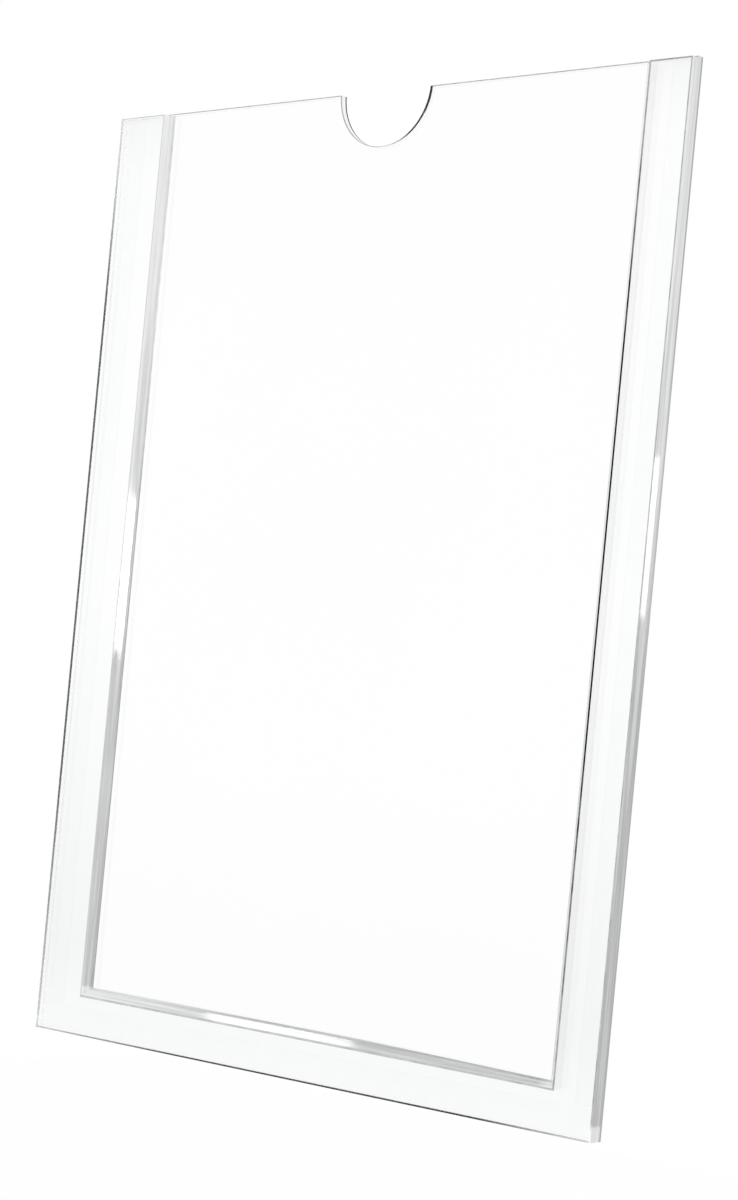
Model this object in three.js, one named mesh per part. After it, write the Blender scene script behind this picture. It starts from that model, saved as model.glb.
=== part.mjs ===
// A clear acrylic wall holder for one upright A4 sheet.
//
// A thin clear panel with a half-round thumb notch stands 1 mm off the wall on three strips of
// clear tape, and the sheet slides down between the panel and the wall. Three flat clear rails,
// bevelled along their inner edges and mitred at the bottom corners, are bonded to the front of
// the panel as a frame that is open at the top.
//
// Millimetres. +X is to the right as the reader sees it, +Z is up, and the holder faces -Y.
// The wall is the plane Y = 0, and the origin is the middle of the bottom tape's wall side.

import * as THREE from "three";
import { ConvexGeometry } from "three/addons/geometries/ConvexGeometry.js";

// Sheet that the pocket is made for, and its room in the pocket
const SHEET_WIDTH = 210;
const SHEET_HEIGHT = 297;
const SHEET_SIDE_CLEARANCE = 1.25;
const PANEL_ABOVE_SHEET = 4.25;

// Tape that holds the panel on the wall
const TAPE_WIDTH = 8;
const TAPE_THICKNESS = 1;
const TAPE_EDGE_INSET = 0.75;
const TAPE_END_GAP = 0.5;

// Panel, and its thumb notch, whose middle lies a little left of the panel's
const PANEL_THICKNESS = 2.5;
const NOTCH_WIDTH = 36;
const NOTCH_DEPTH = 17.5;
const NOTCH_MIDDLE = -1;
const NOTCH_FACETS = 40;

// Rails: the width of each flat front face, the square land left under the bevel, and how far
// below the panel's top edge the side rails end
const RAIL_THICKNESS = 3;
const LEFT_RAIL_FACE = 20;
const RIGHT_RAIL_FACE = 14.5;
const BOTTOM_RAIL_FACE = 13.5;
const BEVEL_LAND = 0.25;
const RAIL_TOP_GAP = 0.75;

// Sizes that follow
const POCKET_WIDTH = SHEET_WIDTH + 2 * SHEET_SIDE_CLEARANCE;
const PANEL_WIDTH = POCKET_WIDTH + 2 * (TAPE_WIDTH + TAPE_EDGE_INSET);
const PANEL_HEIGHT = TAPE_EDGE_INSET + TAPE_WIDTH + SHEET_HEIGHT + PANEL_ABOVE_SHEET;
const BEVEL = RAIL_THICKNESS - BEVEL_LAND;

// Planes that the layers share, from the wall to the front
const WALL = 0;
const PANEL_BACK = WALL - TAPE_THICKNESS;
const PANEL_FRONT = PANEL_BACK - PANEL_THICKNESS;
const RAIL_FRONT = PANEL_FRONT - RAIL_THICKNESS;
const LAND_FRONT = PANEL_FRONT - BEVEL_LAND;

// Outer edges of the panel and the rails
const LEFT = -PANEL_WIDTH / 2;
const RIGHT = PANEL_WIDTH / 2;
const BOTTOM = -TAPE_EDGE_INSET - TAPE_WIDTH / 2;
const TOP = BOTTOM + PANEL_HEIGHT;

const ACRYLIC = { color: 0xf1f6f3, roughness: 0.04, metalness: 0, transparent: true, opacity: 0.35 };
const TAPE = { color: 0xe9eeea, roughness: 0.35, metalness: 0, transparent: true, opacity: 0.6 };

// Stands a flat drawing up against the wall: drawn X stays X, drawn Y becomes Z, and the
// thickness grows towards the reader.
const UPRIGHT = new THREE.Matrix4().set(
  1, 0, 0, 0,
  0, 0, -1, 0,
  0, 1, 0, 0,
  0, 0, 0, 1,
);

function named(name, geometry, look) {
  const mesh = new THREE.Mesh(geometry, new THREE.MeshStandardMaterial(look));
  mesh.name = name;
  return mesh;
}

// A plate of the given thickness whose back lies in the plane back
function plate(outline, back, thickness) {
  const geometry = new THREE.ExtrudeGeometry(outline, {
    depth: thickness,
    bevelEnabled: false,
    curveSegments: NOTCH_FACETS,
  });
  geometry.applyMatrix4(UPRIGHT);
  geometry.translate(0, back, 0);
  return geometry;
}

function rectangle(left, bottom, right, top) {
  const outline = new THREE.Shape();
  outline.moveTo(left, bottom);
  outline.lineTo(right, bottom);
  outline.lineTo(right, top);
  outline.lineTo(left, top);
  outline.closePath();
  return outline;
}

// The full face of the holder, with the thumb notch in its top edge: one arc, whose centre lies
// above that edge by lift, so that it starts and ends a small angle, dip, below level
function panelOutline() {
  const halfWidth = NOTCH_WIDTH / 2;
  const radius = (halfWidth ** 2 + NOTCH_DEPTH ** 2) / (2 * NOTCH_DEPTH);
  const lift = radius - NOTCH_DEPTH;
  const dip = Math.atan2(lift, halfWidth);
  const outline = new THREE.Shape();
  outline.moveTo(LEFT, BOTTOM);
  outline.lineTo(RIGHT, BOTTOM);
  outline.lineTo(RIGHT, TOP);
  outline.lineTo(NOTCH_MIDDLE + halfWidth, TOP);
  outline.absarc(NOTCH_MIDDLE, TOP + lift, radius, -dip, Math.PI + dip, true);
  outline.lineTo(LEFT, TOP);
  outline.closePath();
  return outline;
}

// A rail is convex, so its corners give its shape. They are worked out along the rail: offset is
// the distance in from the holder's outer edge, and run the distance along that edge.
function railSection(face) {
  return [
    [0, PANEL_FRONT],
    [0, RAIL_FRONT],
    [face, RAIL_FRONT],
    [face + BEVEL, LAND_FRONT],
    [face + BEVEL, PANEL_FRONT],
  ];
}

// The mitre runs out at 45 degrees from the inner corner of the frame, so the wider of the two
// rails that meet there keeps a square end, as wide as the difference between their faces.
function mitredEnd(face, neighbourFace) {
  const squareWidth = face - neighbourFace;
  const corners = railSection(face).map(
    ([offset, depth]) => ({ offset, depth, run: Math.max(0, offset - squareWidth) }),
  );
  if (squareWidth > 0) {
    const atMitre = { offset: squareWidth, run: 0 };
    corners.push({ ...atMitre, depth: PANEL_FRONT }, { ...atMitre, depth: RAIL_FRONT });
  }
  return corners;
}

function sideRail(face, across) {
  const topEnd = railSection(face).map(
    ([offset, depth]) => ({ offset, depth, run: PANEL_HEIGHT - RAIL_TOP_GAP }),
  );
  const points = [...mitredEnd(face, BOTTOM_RAIL_FACE), ...topEnd].map(
    ({ offset, depth, run }) => new THREE.Vector3(across(offset), depth, BOTTOM + run),
  );
  return new ConvexGeometry(points);
}

function bottomRail() {
  const leftEnd = mitredEnd(BOTTOM_RAIL_FACE, LEFT_RAIL_FACE).map(
    ({ offset, depth, run }) => new THREE.Vector3(LEFT + run, depth, BOTTOM + offset),
  );
  const rightEnd = mitredEnd(BOTTOM_RAIL_FACE, RIGHT_RAIL_FACE).map(
    ({ offset, depth, run }) => new THREE.Vector3(RIGHT - run, depth, BOTTOM + offset),
  );
  return new ConvexGeometry([...leftEnd, ...rightEnd]);
}

// Tape strips lie just inside the panel's edges. The side strips stand on the bottom one.
function tapeStrip(left, bottom, right, top) {
  return plate(rectangle(left, bottom, right, top), WALL, TAPE_THICKNESS);
}

const tapeLeft = LEFT + TAPE_EDGE_INSET;
const tapeRight = RIGHT - TAPE_EDGE_INSET;
const tapeBottom = BOTTOM + TAPE_EDGE_INSET;
const tapeTop = TOP - TAPE_EDGE_INSET;
const pocketFloor = tapeBottom + TAPE_WIDTH;
const sideTapeBottom = pocketFloor + TAPE_END_GAP;

const holder = new THREE.Group();
holder.add(
  named("front_panel", plate(panelOutline(), PANEL_BACK, PANEL_THICKNESS), ACRYLIC),
  named("left_rail", sideRail(LEFT_RAIL_FACE, (offset) => LEFT + offset), ACRYLIC),
  named("right_rail", sideRail(RIGHT_RAIL_FACE, (offset) => RIGHT - offset), ACRYLIC),
  named("bottom_rail", bottomRail(), ACRYLIC),
  named("left_tape", tapeStrip(tapeLeft, sideTapeBottom, tapeLeft + TAPE_WIDTH, tapeTop), TAPE),
  named("right_tape", tapeStrip(tapeRight - TAPE_WIDTH, sideTapeBottom, tapeRight, tapeTop), TAPE),
  named("bottom_tape", tapeStrip(tapeLeft, tapeBottom, tapeRight, pocketFloor), TAPE),
);

export default holder;
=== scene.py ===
"""Looks of a clear acrylic wall holder for one upright A4 sheet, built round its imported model.

Metres, +Z up. The wall is the plane Y = 0, and the holder faces -Y.
"""

import math

import bmesh
import bpy
from mathutils import Matrix, Vector

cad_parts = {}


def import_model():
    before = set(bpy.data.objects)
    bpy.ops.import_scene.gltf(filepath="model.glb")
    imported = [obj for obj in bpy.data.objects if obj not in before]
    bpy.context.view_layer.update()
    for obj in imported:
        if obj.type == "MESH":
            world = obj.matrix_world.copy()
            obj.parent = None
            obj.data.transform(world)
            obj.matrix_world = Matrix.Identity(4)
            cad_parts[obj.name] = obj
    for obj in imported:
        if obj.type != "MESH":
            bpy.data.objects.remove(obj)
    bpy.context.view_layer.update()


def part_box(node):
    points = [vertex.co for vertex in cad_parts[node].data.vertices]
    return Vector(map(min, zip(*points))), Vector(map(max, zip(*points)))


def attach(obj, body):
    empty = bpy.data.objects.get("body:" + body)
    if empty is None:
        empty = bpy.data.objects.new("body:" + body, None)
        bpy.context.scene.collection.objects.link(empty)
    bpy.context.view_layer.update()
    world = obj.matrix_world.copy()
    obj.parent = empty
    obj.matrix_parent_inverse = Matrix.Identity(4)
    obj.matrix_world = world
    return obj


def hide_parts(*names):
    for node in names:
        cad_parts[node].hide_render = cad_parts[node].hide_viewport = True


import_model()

MM = 0.001
TINY = 0.001 * MM

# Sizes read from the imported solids
panel_low, panel_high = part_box("front_panel")
left_low, left_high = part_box("left_rail")
right_low, right_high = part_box("right_rail")
bottom_low, bottom_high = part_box("bottom_rail")
LEFT, RIGHT = panel_low.x, panel_high.x
BOTTOM, TOP = panel_low.z, panel_high.z
MIDDLE = (BOTTOM + TOP) / 2
PANEL_FRONT, PANEL_BACK = panel_low.y, panel_high.y
RAIL_FRONT, RAIL_TOP = left_low.y, left_high.z

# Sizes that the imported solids' boxes don't give
BEVEL_LAND = 0.25 * MM
NOTCH_WIDTH = 36 * MM
NOTCH_DEPTH = 17.5 * MM
NOTCH_MIDDLE = -1 * MM

# Bevel, and the width of each rail's flat front face
BEVEL = (PANEL_FRONT - RAIL_FRONT) - BEVEL_LAND
LEFT_FACE = (left_high.x - left_low.x) - BEVEL
RIGHT_FACE = (right_high.x - right_low.x) - BEVEL
BOTTOM_FACE = (bottom_high.z - bottom_low.z) - BEVEL

# The notch is one arc, whose centre lies a little above the panel's top edge
NOTCH_HALF = NOTCH_WIDTH / 2
NOTCH_RADIUS = (NOTCH_HALF**2 + NOTCH_DEPTH**2) / (2 * NOTCH_DEPTH)
NOTCH_LIFT = NOTCH_RADIUS - NOTCH_DEPTH
NOTCH_LEFT, NOTCH_RIGHT = NOTCH_MIDDLE - NOTCH_HALF, NOTCH_MIDDLE + NOTCH_HALF
NOTCH_STEPS = 96

# Scraped corners, and the angle between two faces above which they count as a corner
ARRIS = 0.4 * MM
CORNER_ANGLE = math.radians(20)

# Film of cement behind the rails, and of glue on the tape
BOND_LINE = 0.03 * MM

# A rail's inner edge as it is finished: a ground rim, which is narrower on the left rail, then
# the bevel, which is buffed over most of its width, and a bead of cement along its toe
RIM_INSET = 0.6 * MM
LEFT_RIM_INSET = 0.15 * MM
RIM_RUN = 0.1 * MM
RIM_DEPTH = 0.11 * MM
BEVEL_RUN = 2.5 * MM
BUFFED_SHARE = 0.8
TOE_WIDTH = 0.25 * MM
TOE_LIP = 0.02 * MM

# The bottom rail's bevel and flat face narrow from this share of its length to its right end
NARROWING_START = 0.625
BEVEL_NARROWING = 0.28
FACE_NARROWING = 0.4 * MM
BOTTOM_STEPS = 24

# Bulge of the tape's slit edges
TAPE_BULGE = 0.15 * MM
TAPE_BULGE_STEPS = 4


def new_object(name, bm, materials):
    bmesh.ops.recalc_face_normals(bm, faces=bm.faces)
    mesh = bpy.data.meshes.new(name)
    bm.to_mesh(mesh)
    bm.free()
    for material in materials:
        mesh.materials.append(material)
    made = bpy.data.objects.new(name, mesh)
    bpy.context.scene.collection.objects.link(made)
    return made


def add_piece(made, slot, *nodes):
    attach(made, "root")
    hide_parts(*nodes)


# Nodes

# Most of a noise texture's values lie between these
NOISE_LOW, NOISE_HIGH = 0.3, 0.7


class Nodes:
    """The node tree of a material or a world, built up from values and links."""

    def __init__(self, owner):
        owner.use_nodes = True
        self.tree = owner.node_tree
        self.tree.nodes.clear()

    def node(self, kind, inputs=None, **properties):
        made = self.tree.nodes.new(kind)
        for name, value in properties.items():
            setattr(made, name, value)
        for socket, value in (inputs or {}).items():
            self.feed(made, socket, value)
        return made

    def feed(self, made, socket, value):
        if isinstance(value, bpy.types.NodeSocket):
            self.tree.links.new(value, made.inputs[socket])
        else:
            made.inputs[socket].default_value = value

    def combine(self, operation, first, second):
        return self.node("ShaderNodeMath", {0: first, 1: second}, operation=operation).outputs[0]

    def total(self, first, *others):
        for other in others:
            first = self.combine("ADD", first, other)
        return first

    def spread(self, value, low, high, start=NOISE_LOW, end=NOISE_HIGH):
        """A value that runs from low to high while another runs from start to end."""
        ranged = self.node(
            "ShaderNodeMapRange",
            {"Value": value, "From Min": start, "From Max": end, "To Min": low, "To Max": high},
        )
        return ranged.outputs["Result"]

    def between(self, share, low, high):
        return self.spread(share, low, high, 0.0, 1.0)

    def stepped(self, factor, *stops):
        """A colour that runs through the stops, each a position and a colour."""
        made = self.node("ShaderNodeValToRGB", {"Fac": factor})
        elements = made.color_ramp.elements
        while len(elements) < len(stops):
            elements.new(0.5)
        for element, (position, colour) in zip(elements, stops):
            element.position = position
            element.color = colour
        return made.outputs["Color"]


class Finish(Nodes):
    """A procedural material in the holder's own coordinates."""

    def __init__(self, name):
        self.material = bpy.data.materials.new(name)
        super().__init__(self.material)
        self.output = self.node("ShaderNodeOutputMaterial")
        self.place = self.node("ShaderNodeTexCoord").outputs["Object"]
        self.shader = self.node("ShaderNodeBsdfPrincipled")
        self.feed(self.output, "Surface", self.shader.outputs["BSDF"])

    def set(self, **sockets):
        for name, value in sockets.items():
            self.feed(self.shader, name.replace("_", " "), value)

    def noise(self, stretch, scale, detail=4.0):
        mapping = self.node("ShaderNodeMapping", {"Vector": self.place, "Scale": stretch})
        texture = self.node(
            "ShaderNodeTexNoise",
            {"Vector": mapping.outputs["Vector"], "Scale": scale, "Detail": detail},
        )
        return texture.outputs["Fac"]

    def along(self, axis, start, end, low, high):
        """A value that runs from low to high between two places on an axis."""
        split = self.node("ShaderNodeSeparateXYZ", {"Vector": self.place})
        return self.spread(split.outputs[axis], low, high, start, end)

    def shades(self, stretches):
        """The sum of the values along several stretches."""
        return self.total(*(self.along(*stretch) for stretch in stretches))

    def inside(self):
        """One where a face is seen from inside the sheet, and nought where it is seen from outside."""
        return self.node("ShaderNodeNewGeometry").outputs["Backfacing"]

    def ramp(self, factor, low, high, start=NOISE_LOW, end=NOISE_HIGH):
        return self.stepped(factor, (start, low), (end, high))

    def blend(self, factor, first, second):
        made = self.node("ShaderNodeMix", {0: factor, 6: first, 7: second}, data_type="RGBA")
        return made.outputs[2]

    def bump(self, height, distance, strength):
        made = self.node(
            "ShaderNodeBump", {"Height": height, "Distance": distance, "Strength": strength}
        )
        return made.outputs["Normal"]

    def absorb(self, colour, density):
        made = self.node("ShaderNodeVolumeAbsorption", {"Color": colour, "Density": density})
        self.feed(self.output, "Volume", made.outputs["Volume"])


# Colours


def cast_grey(value):
    """A grey with the sheet's faint green cast."""
    return (value, value + 0.01, value + 0.005, 1)


WHITE = (1, 1, 1, 1)
ALMOST_WHITE = (0.990, 0.995, 0.993, 1)
# Pale of the cement bead under painted light, and of the painted glow on the scraped corners at the
# bottom
CEMENT_AND_PAINTED_GLOW = (0.97, 0.975, 0.973, 1)
# Painted shade that greys the rails' faces
PAINTED_SHADE_GREY = (0.928, 0.937, 0.933, 1)
# Painted light and shade on rims and toes, and on edges seen from inside
SOFT = cast_grey(0.62)
RIM = cast_grey(0.40)
GREY = (0.25, 0.255, 0.25, 1)
DARK = (0.05, 0.05, 0.05, 1)
BLACK = (0.01, 0.01, 0.01, 1)
SCRAPED = (cast_grey(0.32), cast_grey(0.55))

# The sheet's refraction, and the cast that it takes on over its depth
ACRYLIC_IOR = 1.491
CAST, CAST_DENSITY = (0.60, 0.74, 0.68, 1.0), 3.0

# Ranges of roughness
CAST_SMOOTH = (0.0, 0.015)
GLOSSY = (0.03, 0.07)
CLOUDED = (0.25, 0.4)
DULL = (0.3, 0.5)

# Cut edges: the darkest and the lightest tone of their streaks, and their roughness
BUFFED = (cast_grey(0.45), cast_grey(0.93), GLOSSY)
CLOUDY = (cast_grey(0.30), cast_grey(0.82), CLOUDED)
SIDE = (cast_grey(0.38), cast_grey(0.84), GLOSSY)
SAWN = (cast_grey(0.34), cast_grey(0.78), CLOUDED)
POLISHED = (cast_grey(0.90), cast_grey(0.96), GLOSSY)

# How clear a cut edge is from outside
EDGE_CLEARNESS = 0.1

# Grains: how fine the noise is along X, Y and Z, and its scale
EVEN = (1, 1, 1)
WAVES = (EVEN, 9.0)
FINE_GRAIN = ((40, 40, 40), 6.0)
UPRIGHT, LEVEL = "upright", "level"
STREAKS = {UPRIGHT: ((220, 220, 5), 4.0), LEVEL: ((5, 220, 220), 4.0)}

# Lowest and highest tone that a grain gives, and for streaks the noise at which it gives them
STREAK_TONES = (0.25, 0.75, 0.35, 0.65)
DULL_TONES = (0.4, 0.6)

# Tones at which a dull line has its darker and its lighter colour
DULL_RAMP = (0.2, 0.7)

# Heights and strengths of the bumps
WAVE_HEIGHT, WAVE_STRENGTH = 0.02 * MM, 0.5
SCRATCH_HEIGHT, SCRATCH_STRENGTH = 0.01 * MM, 0.4

# Inner lines of the bottom and the right rail, where their bevels end
INNER_BOTTOM = BOTTOM + BOTTOM_FACE + BEVEL_RUN
INNER_RIGHT = RIGHT - RIGHT_FACE - BEVEL_RUN

# Stretches along an axis over which a tone changes: where each starts and ends
ACROSS = ("X", LEFT, RIGHT)
LEFT_END = ("X", LEFT + 60 * MM, LEFT)
LEFT_THIRD = ("X", LEFT + 20 * MM, LEFT + 70 * MM)
RIGHT_END = ("X", RIGHT - 40 * MM, RIGHT)
INNER_RIGHT_END = ("X", INNER_RIGHT - 4 * MM, INNER_RIGHT)
PAST_RIGHT_RAIL = ("X", RIGHT - RIGHT_FACE, RIGHT - RIGHT_FACE - 4 * MM)
OVER_LEFT_RAIL = ("X", LEFT + LEFT_FACE + 2 * MM, LEFT + LEFT_FACE - 1 * MM)
PAST_NOTCH = ("X", NOTCH_MIDDLE + 11 * MM, NOTCH_MIDDLE - 13 * MM)
BEHIND_FRONT = ("Y", RAIL_FRONT + 1.7 * MM, RAIL_FRONT + 1.9 * MM)
BACK_RIM = ("Y", PANEL_BACK - 0.9 * MM, PANEL_BACK - 0.7 * MM)
NOTCH_BACK = ("Y", PANEL_BACK - 0.6 * MM, PANEL_BACK - 0.3 * MM)
NOTCH_RIM = ("Y", PANEL_BACK - 0.6 * MM, PANEL_BACK - 0.5 * MM)
TOP_END = ("Z", TOP - 20 * MM, TOP)
UPPER_NOTCH = ("Z", TOP - 10 * MM, TOP - 4 * MM)
UPPER_END = ("Z", TOP - 60 * MM, TOP)
UPPER_THIRD = ("Z", TOP - 110 * MM, TOP)
UPPER_HALF = ("Z", MIDDLE + 20 * MM, MIDDLE + 80 * MM)
RISING = ("Z", MIDDLE - 30 * MM, MIDDLE + 90 * MM)
LOWER_HALF = ("Z", MIDDLE - 5 * MM, BOTTOM + 10 * MM)
LOWER_END = ("Z", BOTTOM + 85 * MM, BOTTOM + 10 * MM)
BOTTOM_END = ("Z", BOTTOM + 30 * MM, BOTTOM + 5 * MM)
LAST_CORNER = ("Z", BOTTOM + 6 * MM, BOTTOM + 3 * MM)
INNER_CORNER = ("Z", INNER_BOTTOM, INNER_BOTTOM + 1 * MM)
OUTER_CORNER = ("Z", BOTTOM + 4 * MM, BOTTOM + 5 * MM)

# Painted light that the sheet pipes to its edges: more towards the top and the left, and round corners
UPRIGHT_GLOW = ((*RISING, -0.15, 0.42), (*ACROSS, 0.08, -0.08))
LEVEL_GLOW = ((*ACROSS, 0.25, -0.25), (*LEFT_THIRD, 0.45, 0.0), (*INNER_RIGHT_END, 0.0, 0.5))
CORNER_GLOW = (0.6, 0.0)

# Where an edge is clear from inside, free of its painted shade
SIDE_CLEARING = (
    (*BEHIND_FRONT, 0.0, 1.0),
    (*UPPER_END, 0.0, 0.7),
    (*LOWER_END, 0.0, 0.45),
    (*LAST_CORNER, 0.0, 0.25),
)
BOTTOM_CLEARING = ((*LEFT_END, 0.0, 0.5), (*RIGHT_END, 0.0, 0.6))
TOP_CLEARING = ((*PAST_RIGHT_RAIL, 0.25, 0.35), (*OVER_LEFT_RAIL, 0.0, 0.65))
NOTCH_CLEARING = ((*PAST_NOTCH, 0.0, 2.0), (*NOTCH_BACK, 0.0, 1.0), (*UPPER_NOTCH, 0.0, -1.0))

# Painted light and shade: where the rails' faces grey, where rims and toes are dark or light, and where
# the scraped corners pale at the bottom
FACE_PAINTED_SHADE = ((*LOWER_HALF, 0.0, 1.0), (*BOTTOM_END, 0.0, -0.8), (*TOP_END, 0.0, 0.7))
UPRIGHT_RIM_SHADE = ((*ACROSS, 0.3, -0.5), (*UPPER_THIRD, 0.0, 0.5), (*LOWER_HALF, 0.0, 0.5))
UPRIGHT_TOE_SHADE = ((*ACROSS, -0.4, 0.4), (*UPPER_HALF, 0.0, 0.35), (*LOWER_END, 0.0, -0.5))
LEVEL_RIM_SHADE = ((*ACROSS, 0.15, 0.05),)
PANEL_RIM_SHADE = ((*BACK_RIM, 0.0, 1.0),)
NOTCH_RIM_SHADE = ((*NOTCH_RIM, 0.0, 1.0),)
CORNER_PAINTED_GLOW = ((*LAST_CORNER, 0.0, 1.0),)


# Finishes of the sheet


def clear_faces(name, painted_shade=()):
    """The cast faces: clear, glossy and very slightly wavy, and greyer with painted shade along some
    stretches.
    """
    finish = Finish(name)
    wave = finish.noise(*WAVES)
    colour = finish.ramp(wave, ALMOST_WHITE, WHITE)
    if painted_shade:
        colour = finish.blend(finish.shades(painted_shade), colour, PAINTED_SHADE_GREY)
    finish.set(
        IOR=ACRYLIC_IOR,
        Transmission_Weight=1.0,
        Base_Color=colour,
        Roughness=finish.spread(wave, *CAST_SMOOTH),
        Normal=finish.bump(wave, WAVE_HEIGHT, WAVE_STRENGTH),
    )
    finish.absorb(CAST, CAST_DENSITY)
    return finish.material


def edge_tone(finish, run, grain, corner):
    """Streaks, over painted light that the sheet pipes to its edges."""
    glow = LEVEL_GLOW if run == LEVEL else (*UPRIGHT_GLOW, (*corner, *CORNER_GLOW))
    return finish.total(finish.spread(grain, *STREAK_TONES), finish.shades(glow))


def cut_edge(name, run, low, high, roughness):
    """A sawn or buffed bevel: pale and half clear, streaked along its run, over painted light piped
    along the sheet.
    """
    finish = Finish(name + "_" + run)
    grain = finish.noise(*STREAKS[run])
    tone = edge_tone(finish, run, grain, INNER_CORNER)
    finish.set(
        IOR=ACRYLIC_IOR,
        Transmission_Weight=EDGE_CLEARNESS,
        Base_Color=finish.ramp(tone, low, high, 0.0, 1.0),
        Roughness=finish.spread(grain, *roughness),
        Normal=finish.bump(grain, SCRATCH_HEIGHT, SCRATCH_STRENGTH),
    )
    finish.absorb(CAST, CAST_DENSITY)
    return finish.material


def two_sided_edge(name, run, low, high, roughness, shade=None, clearing=(), rim=None, specular=0.5):
    """An edge that looks pale from outside, with painted light that the sheet pipes along to it.

    Its rim may be darker with painted shade. From inside it is a smooth mirror: clear, or darkened with
    painted shade except where the stretches in clearing add up to one.
    """
    finish = Finish(name)
    grain = finish.noise(*STREAKS[run])
    inside = finish.inside()
    tone = edge_tone(finish, run, grain, OUTER_CORNER)
    outer_colour = finish.ramp(tone, low, high, 0.0, 1.0)
    if rim:
        stretches, rim_colour = rim
        outer_colour = finish.blend(finish.shades(stretches), outer_colour, rim_colour)
    clearness, inner_colour = 1.0, WHITE
    if shade:
        clearness = finish.between(finish.shades(clearing), 0.0, 1.0)
        inner_colour = finish.ramp(clearness, shade, WHITE, 0.0, 1.0)
    finish.set(
        IOR=ACRYLIC_IOR,
        Specular_IOR_Level=specular,
        Transmission_Weight=finish.between(inside, EDGE_CLEARNESS, clearness),
        Base_Color=finish.blend(inside, outer_colour, inner_colour),
        Roughness=finish.between(inside, finish.spread(grain, *roughness), 0.0),
        Normal=finish.bump(grain, SCRATCH_HEIGHT, finish.between(inside, SCRATCH_STRENGTH, 0.0)),
    )
    finish.absorb(CAST, CAST_DENSITY)
    return finish.material


def scraped_corner(name):
    """A corner scraped by hand: fine, grey and half matt from outside, paler with painted glow near the
    bottom corner, and clear from inside.
    """
    finish = Finish(name)
    grain = finish.noise(*FINE_GRAIN)
    inside = finish.inside()
    scraped = finish.blend(finish.shades(CORNER_PAINTED_GLOW), finish.ramp(grain, *SCRAPED), CEMENT_AND_PAINTED_GLOW)
    finish.set(
        IOR=ACRYLIC_IOR,
        Transmission_Weight=finish.between(inside, EDGE_CLEARNESS, 1.0),
        Base_Color=finish.blend(inside, scraped, WHITE),
        Roughness=finish.between(inside, finish.spread(grain, *DULL), 0.0),
    )
    finish.absorb(CAST, CAST_DENSITY)
    return finish.material


def dull_line(name, low, high, shade):
    """A ground rim or the cement along a joint, with painted light and shade: lighter where more light
    would reach it in the sheet, and darker elsewhere.
    """
    finish = Finish(name)
    grain = finish.noise(*FINE_GRAIN)
    tone = finish.total(finish.spread(grain, *DULL_TONES), finish.shades(shade))
    finish.set(
        IOR=ACRYLIC_IOR,
        Specular_IOR_Level=0.0,
        Base_Color=finish.ramp(tone, low, high, *DULL_RAMP),
        Roughness=finish.spread(grain, *DULL),
    )
    return finish.material


FINISHES = []


def add_finish(material):
    """Adds a material to the sheet's list, and gives its place there."""
    FINISHES.append(material)
    return len(FINISHES) - 1


FACE = add_finish(clear_faces("clear_faces"))
RAIL_FACE = add_finish(clear_faces("rail_faces", FACE_PAINTED_SHADE))
BUFFED_UPRIGHT = add_finish(cut_edge("buffed", UPRIGHT, *BUFFED))
BUFFED_LEVEL = add_finish(cut_edge("buffed", LEVEL, *BUFFED))
CLOUDY_UPRIGHT = add_finish(cut_edge("cloudy", UPRIGHT, *CLOUDY))
CLOUDY_LEVEL = add_finish(cut_edge("cloudy", LEVEL, *CLOUDY))
RAIL_SIDE = add_finish(two_sided_edge("rail_side", UPRIGHT, *SIDE, BLACK, SIDE_CLEARING))
RAIL_BOTTOM = add_finish(
    two_sided_edge("rail_bottom", LEVEL, *SIDE, DARK, BOTTOM_CLEARING, specular=0.0)
)
RAIL_END = add_finish(two_sided_edge("rail_end", LEVEL, *SIDE, GREY, TOP_CLEARING, specular=0.0))
PANEL_SIDE = add_finish(two_sided_edge("panel_side", UPRIGHT, *SAWN, rim=(PANEL_RIM_SHADE, RIM)))
PANEL_BOTTOM = add_finish(
    two_sided_edge("panel_bottom", LEVEL, *SAWN, GREY, BOTTOM_CLEARING, specular=0.0)
)
PANEL_TOP = add_finish(two_sided_edge("panel_top", LEVEL, *SAWN, GREY, TOP_CLEARING, specular=0.0))
NOTCH = add_finish(
    two_sided_edge(
        "notch", UPRIGHT, *POLISHED, BLACK, NOTCH_CLEARING, (NOTCH_RIM_SHADE, DARK), specular=0.0
    )
)
CORNER = add_finish(scraped_corner("scraped_corner"))
RIM_UPRIGHT = add_finish(dull_line("upright_rim", BLACK, SOFT, UPRIGHT_RIM_SHADE))
TOE_UPRIGHT = add_finish(dull_line("upright_toe", RIM, CEMENT_AND_PAINTED_GLOW, UPRIGHT_TOE_SHADE))
RIM_LEVEL = add_finish(dull_line("level_rim", GREY, SOFT, LEVEL_RIM_SHADE))


# Scraped corners


def scrape_corners(bm, chosen):
    """Takes the sharpness off the chosen outer corners of a cut piece."""
    bmesh.ops.recalc_face_normals(bm, faces=bm.faces)
    corners = [
        edge
        for edge in bm.edges
        if edge.is_convex and edge.calc_face_angle(0.0) > CORNER_ANGLE and chosen(edge)
    ]
    bmesh.ops.bevel(
        bm, geom=corners, offset=ARRIS, offset_type="WIDTH", segments=1, affect="EDGES", material=CORNER
    )


def lies_at(edge, axis, place):
    return all(abs(getattr(vert.co, axis) - place) < TINY for vert in edge.verts)


# Rails: one welded frame in the place of the three strips


def scraped_on_rails(edge):
    at_end = lies_at(edge, "z", RAIL_TOP) or lies_at(edge, "x", RIGHT)
    return at_end and lies_at(edge, "y", RAIL_FRONT)


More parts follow.
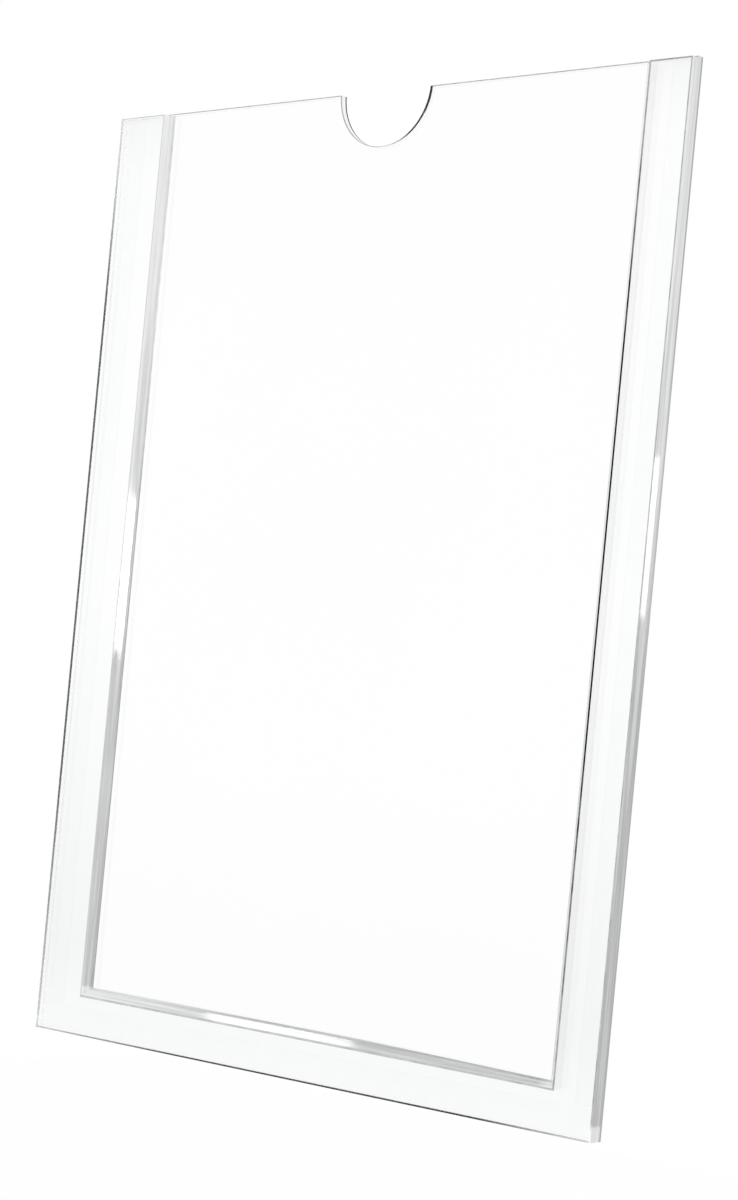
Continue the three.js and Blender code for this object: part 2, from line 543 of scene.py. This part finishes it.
def rail_frame():
    back = PANEL_FRONT - BOND_LINE
    buffed = BEVEL_RUN * BUFFED_SHARE
    foot = BEVEL_RUN + TOE_WIDTH
    # Corners of the section: shares of the flat face, distance on from there, and depth. The rim
    # starts before the flat face ends, and is narrower on the left.
    section = [
        (0, 0.0, back),
        (0, 0.0, RAIL_FRONT),
        (1, -RIM_INSET, RAIL_FRONT),
        (1, RIM_RUN, RAIL_FRONT + RIM_DEPTH),
        (1, buffed, RAIL_FRONT + BEVEL * BUFFED_SHARE),
        (1, BEVEL_RUN, PANEL_FRONT - BEVEL_LAND),
        (1, foot, back - TOE_LIP),
        (1, foot, back),
    ]
    # Finish of the face that follows each corner, on an upright rail and on the level one
    finishes = [
        (RAIL_SIDE, RAIL_BOTTOM),
        (RAIL_FACE, RAIL_FACE),
        (RIM_UPRIGHT, RIM_LEVEL),
        (BUFFED_UPRIGHT, BUFFED_LEVEL),
        (CLOUDY_UPRIGHT, CLOUDY_LEVEL),
        (TOE_UPRIGHT, CLOUDY_LEVEL),
        (TOE_UPRIGHT, CLOUDY_LEVEL),
        (RAIL_FACE, RAIL_FACE),
    ]
    bm = bmesh.new()
    # Down the left rail, along the bottom one, which narrows towards its end, and up the right one
    stations = [[] for _ in range(BOTTOM_STEPS + 3)]
    for share, onward, depth in section:
        left = LEFT + share * LEFT_FACE + max(onward, -LEFT_RIM_INSET)
        right = RIGHT - share * RIGHT_FACE - onward
        places = [(left, RAIL_TOP)]
        for step in range(BOTTOM_STEPS + 1):
            part = step / BOTTOM_STEPS
            narrowing = max(0.0, part - NARROWING_START) / (1 - NARROWING_START)
            flat = share * (BOTTOM_FACE - FACE_NARROWING * narrowing)
            low = BOTTOM + flat + onward * (1 - BEVEL_NARROWING * narrowing)
            places.append((left + (right - left) * part, low))
        places.append((right, RAIL_TOP))
        for station, (x, z) in zip(stations, places):
            station.append(bm.verts.new((x, depth, z)))
    count = len(section)
    for leg, (here, there) in enumerate(zip(stations, stations[1:])):
        for i in range(count):
            j = (i + 1) % count
            face = bm.faces.new((here[i], here[j], there[j], there[i]))
            upright, level = finishes[i]
            face.material_index = level if 0 < leg <= BOTTOM_STEPS else upright
    for end in (stations[0], list(reversed(stations[-1]))):
        bm.faces.new(end).material_index = RAIL_END
    scrape_corners(bm, scraped_on_rails)
    return new_object("rail_frame", bm, FINISHES)


add_piece(rail_frame(), "clear_rail", "left_rail", "right_rail", "bottom_rail")


# Panel


def borders_notch(edge):
    return any(face.material_index == NOTCH for face in edge.link_faces)


def scraped_on_panel(edge):
    return lies_at(edge, "y", PANEL_FRONT) and (borders_notch(edge) or lies_at(edge, "z", TOP))


def panel():
    outline = [(LEFT, BOTTOM), (RIGHT, BOTTOM), (RIGHT, TOP)]
    dip = math.atan2(NOTCH_LIFT, NOTCH_HALF)
    for step in range(NOTCH_STEPS + 1):
        angle = dip + (math.pi - 2 * dip) * step / NOTCH_STEPS
        across = NOTCH_MIDDLE + NOTCH_RADIUS * math.cos(angle)
        outline.append((across, TOP + NOTCH_LIFT - NOTCH_RADIUS * math.sin(angle)))
    outline.append((LEFT, TOP))
    bm = bmesh.new()
    front = [bm.verts.new((x, PANEL_FRONT, z)) for x, z in outline]
    back = [bm.verts.new((x, PANEL_BACK, z)) for x, z in outline]
    for ring in (front, list(reversed(back))):
        bm.faces.new(ring).material_index = FACE
    for i in range(len(outline)):
        j = (i + 1) % len(outline)
        face = bm.faces.new((front[i], back[i], back[j], front[j]))
        face.normal_update()
        if all(NOTCH_LEFT - TINY < outline[k][0] < NOTCH_RIGHT + TINY for k in (i, j)):
            face.material_index = NOTCH
        elif abs(face.normal.x) > abs(face.normal.z):
            face.material_index = PANEL_SIDE
        else:
            face.material_index = PANEL_TOP if outline[i][1] > BOTTOM else PANEL_BOTTOM
    scrape_corners(bm, scraped_on_panel)
    return new_object("notched_panel", bm, FINISHES)


add_piece(panel(), "clear_panel", "front_panel")


# Tape

TAPE_IOR, TAPE_EDGE_IOR = 1.05, 1.005
TAPE_CLOUD, TAPE_EDGE_CLOUD = (EVEN, 180.0), (EVEN, 400.0)
TAPE_TINTS = ((0.975, 0.985, 0.98, 1), (0.995, 1, 0.998, 1))
TAPE_EDGE_TINTS = ((0.95, 0.965, 0.96, 1), (0.98, 0.99, 0.985, 1))
TAPE_ROUGHNESS, TAPE_EDGE_ROUGHNESS = (0.02, 0.08), (0.1, 0.2)


def tape_finish(name, ior, cloud, tints, roughness):
    """Clear tape that has wetted out on the sheet, so that it hardly bends light."""
    finish = Finish(name)
    clouding = finish.noise(*cloud)
    finish.set(
        IOR=ior,
        Transmission_Weight=1.0,
        Base_Color=finish.ramp(clouding, *tints),
        Roughness=finish.spread(clouding, *roughness),
    )
    return finish.material


TAPE_FINISHES = [
    tape_finish("tape_faces", TAPE_IOR, TAPE_CLOUD, TAPE_TINTS, TAPE_ROUGHNESS),
    tape_finish("tape_edges", TAPE_EDGE_IOR, TAPE_EDGE_CLOUD, TAPE_EDGE_TINTS, TAPE_EDGE_ROUGHNESS),
]
TAPE_FACE, TAPE_EDGE = range(len(TAPE_FINISHES))


def tape(node):
    """A strip whose slit edges bulge a little where it is pressed."""
    low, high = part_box(node)
    low.y += BOND_LINE
    size = high - low
    length, width = ("x", "z") if size.x > size.z else ("z", "x")
    middle = (low + high) / 2
    # Round one slit edge from face to face, and back round the other
    section = []
    for side in (-1, 1):
        for step in range(TAPE_BULGE_STEPS + 1):
            angle = math.pi * (step / TAPE_BULGE_STEPS - 0.5) * -side
            inset = TAPE_BULGE * (1 - math.cos(angle))
            across = getattr(middle, width) + side * (getattr(size, width) / 2 - inset)
            section.append((across, middle.y + size.y / 2 * math.sin(angle)))
    bm = bmesh.new()
    ends = []
    for position in (getattr(low, length), getattr(high, length)):
        ring = []
        for across, depth in section:
            place = Vector((0, depth, 0))
            setattr(place, length, position)
            setattr(place, width, across)
            ring.append(bm.verts.new(place))
        ends.append(ring)
    count = len(section)
    for i in range(count):
        j = (i + 1) % count
        face = bm.faces.new((ends[0][i], ends[0][j], ends[1][j], ends[1][i]))
        flat = i % (TAPE_BULGE_STEPS + 1) == TAPE_BULGE_STEPS
        face.material_index = TAPE_FACE if flat else TAPE_EDGE
    for ring in ends:
        bm.faces.new(ring).material_index = TAPE_EDGE
    return new_object(node + "_strip", bm, TAPE_FINISHES)


for node in ("left_tape", "right_tape", "bottom_tape"):
    add_piece(tape(node), "clear_tape", node)


# Camera

# Pixels, in a picture that is 1200 high
IMAGE_HEIGHT = 1200
FOCAL_PIXELS = 2624.0
AXIS_PIXEL_Y = 733.0

YAW, PITCH, ROLL = math.radians(40.03), math.radians(0.056), math.radians(5.418)
AIM = Vector((19.66 * MM, RAIL_FRONT, BOTTOM + 109.72 * MM))
DISTANCE = 803.6 * MM
SENSOR = 36.0
CLIP_START, CLIP_END = 0.05, 50.0


def camera():
    """A camera whose sensor spans the picture's longer side, its height."""
    forward = Vector(
        (-math.sin(YAW) * math.cos(PITCH), math.cos(YAW) * math.cos(PITCH), math.sin(PITCH))
    )
    level = Vector((math.cos(YAW), math.sin(YAW), 0.0))
    upright = level.cross(forward)
    right = math.cos(ROLL) * level + math.sin(ROLL) * upright
    up = -math.sin(ROLL) * level + math.cos(ROLL) * upright
    data = bpy.data.cameras.new("camera")
    data.sensor_width = SENSOR
    data.lens = SENSOR * FOCAL_PIXELS / IMAGE_HEIGHT
    data.shift_y = (AXIS_PIXEL_Y - IMAGE_HEIGHT / 2) / IMAGE_HEIGHT
    data.clip_start, data.clip_end = CLIP_START, CLIP_END
    made = bpy.data.objects.new("camera", data)
    turn = Matrix((right, up, -forward)).transposed()
    made.matrix_world = Matrix.Translation(AIM - forward * DISTANCE) @ turn.to_4x4()
    bpy.context.scene.collection.objects.link(made)
    bpy.context.scene.camera = made
    return made


camera_object = camera()


# Room

# Its brightness by how far up a direction points, as positions between the lowest and the highest
ROOM_LOWEST, ROOM_HIGHEST = -0.5, 0.5
ROOM_TONES = ((0.0, 0.7), (0.40, 0.7), (0.48, 1.0), (0.62, 1.0), (0.80, 0.8), (1.0, 0.8))

# Light that hasn't passed through a surface has a smaller transmission depth than this
FIRST_PASS = 0.5


def world():
    """A white room. In reflections off the outside it is dimmer near the ground and overhead."""
    made = bpy.data.worlds.new("studio")
    bpy.context.scene.world = made
    nodes = Nodes(made)
    direction = nodes.node("ShaderNodeTexCoord").outputs["Generated"]
    split = nodes.node("ShaderNodeSeparateXYZ", {"Vector": direction})
    height = nodes.spread(split.outputs["Z"], 0.0, 1.0, ROOM_LOWEST, ROOM_HIGHEST)
    stops = [(position, (tone, tone, tone, 1)) for position, tone in ROOM_TONES]
    dimmed = nodes.stepped(height, *stops)

    path = nodes.node("ShaderNodeLightPath")
    outside = nodes.combine("LESS_THAN", path.outputs["Transmission Depth"], FIRST_PASS)
    reflected = nodes.combine("MULTIPLY", outside, path.outputs["Glossy Depth"])
    strength = nodes.node("ShaderNodeMix", {"Factor": reflected, "A": 1.0, "B": dimmed})
    background = nodes.node(
        "ShaderNodeBackground", {"Color": WHITE, "Strength": strength.outputs["Result"]}
    )
    nodes.node("ShaderNodeOutputWorld", {"Surface": background.outputs["Background"]})


FLOOR_DROP = 0.45
FLOOR_SIZE = 5.0
FLOOR_GRAIN = (EVEN, 3.0)
FLOOR_TINTS = ((0.95, 0.95, 0.95, 1), (0.97, 0.97, 0.97, 1))
FLOOR_ROUGHNESS = 0.9
FLOOR_GLOW = 0.8


def floor():
    """A pale floor that keeps a fifth of its shading, so that it joins the room without an edge."""
    finish = Finish("pale_floor")
    grain = finish.noise(*FLOOR_GRAIN)
    finish.set(
        Base_Color=finish.ramp(grain, *FLOOR_TINTS),
        Roughness=FLOOR_ROUGHNESS,
        Specular_IOR_Level=0.0,
    )
    path = finish.node("ShaderNodeLightPath").outputs
    seen = finish.total(path["Is Camera Ray"], path["Is Glossy Ray"], path["Is Transmission Ray"])
    glow = finish.node("ShaderNodeEmission", {"Color": WHITE, "Strength": 1.0})
    mix = finish.node(
        "ShaderNodeMixShader",
        {
            0: finish.between(seen, 0.0, FLOOR_GLOW),
            1: finish.shader.outputs["BSDF"],
            2: glow.outputs["Emission"],
        },
    )
    finish.feed(finish.output, "Surface", mix.outputs["Shader"])
    bm = bmesh.new()
    bmesh.ops.create_grid(bm, x_segments=1, y_segments=1, size=FLOOR_SIZE / 2)
    made = new_object("floor", bm, [finish.material])
    made.location.z = BOTTOM - FLOOR_DROP


world()
floor()


# Lamps

SOFTBOX_WIDTH = 0.1


def softbox(name, centre, aim, height, radiance):
    data = bpy.data.lights.new(name, "AREA")
    data.shape = "RECTANGLE"
    data.size, data.size_y = SOFTBOX_WIDTH, height
    data.energy = radiance * math.pi * SOFTBOX_WIDTH * height
    made = bpy.data.objects.new(name, data)
    made.location = centre
    made.rotation_mode = "QUATERNION"
    made.rotation_quaternion = (aim - centre).to_track_quat("-Z", "Y")
    made.visible_camera = False
    made.visible_transmission = False
    bpy.context.scene.collection.objects.link(made)


def mirrored_light(name, point, normal, along, window, reach, radiance):
    """A softbox whose reflection lies along a window of the given length on a flat edge.

    Reach is how far the softbox stands off, as a share of the camera's distance.
    """
    eye = camera_object.matrix_world.translation
    point, normal = Vector(point), Vector(normal).normalized()
    behind = eye - 2 * (eye - point).dot(normal) * normal
    centre = point + (point - behind) * reach
    ends = []
    for side in (-0.5, 0.5):
        end = point + Vector(along) * window * side
        ends.append(end + (end - behind) * reach)
    softbox(name, centre, point, (ends[1] - ends[0]).length, radiance)


# Where the glints lie on the right rail's side, and on the left and the bottom rail's bevels
GLINT_DEPTH = RAIL_FRONT + 1.2 * MM
GLINT_INSET = 1 * MM
RIGHT_GLINT = (RIGHT, GLINT_DEPTH, 167.6 * MM)
LEFT_GLINT = (LEFT + LEFT_FACE + GLINT_INSET, GLINT_DEPTH, 150 * MM)
BOTTOM_GLINT = (-6 * MM, GLINT_DEPTH, BOTTOM + BOTTOM_FACE + GLINT_INSET)

mirrored_light(
    "right_softbox",
    point=RIGHT_GLINT,
    normal=(1, 0, 0),
    along=(0, 0, 1),
    window=45 * MM,
    reach=1.0,
    radiance=7.0,
)
mirrored_light(
    "camera_softbox",
    point=LEFT_GLINT,
    normal=(BEVEL, -BEVEL_RUN, 0),
    along=(0, 0, 1),
    window=50 * MM,
    reach=1.25,
    radiance=20.0,
)
mirrored_light(
    "top_softbox",
    point=BOTTOM_GLINT,
    normal=(0, -BEVEL_RUN, BEVEL),
    along=(1, 0, 0),
    window=46 * MM,
    reach=1.0,
    radiance=6.0,
)

bpy.context.scene.view_settings.view_transform = "Standard"
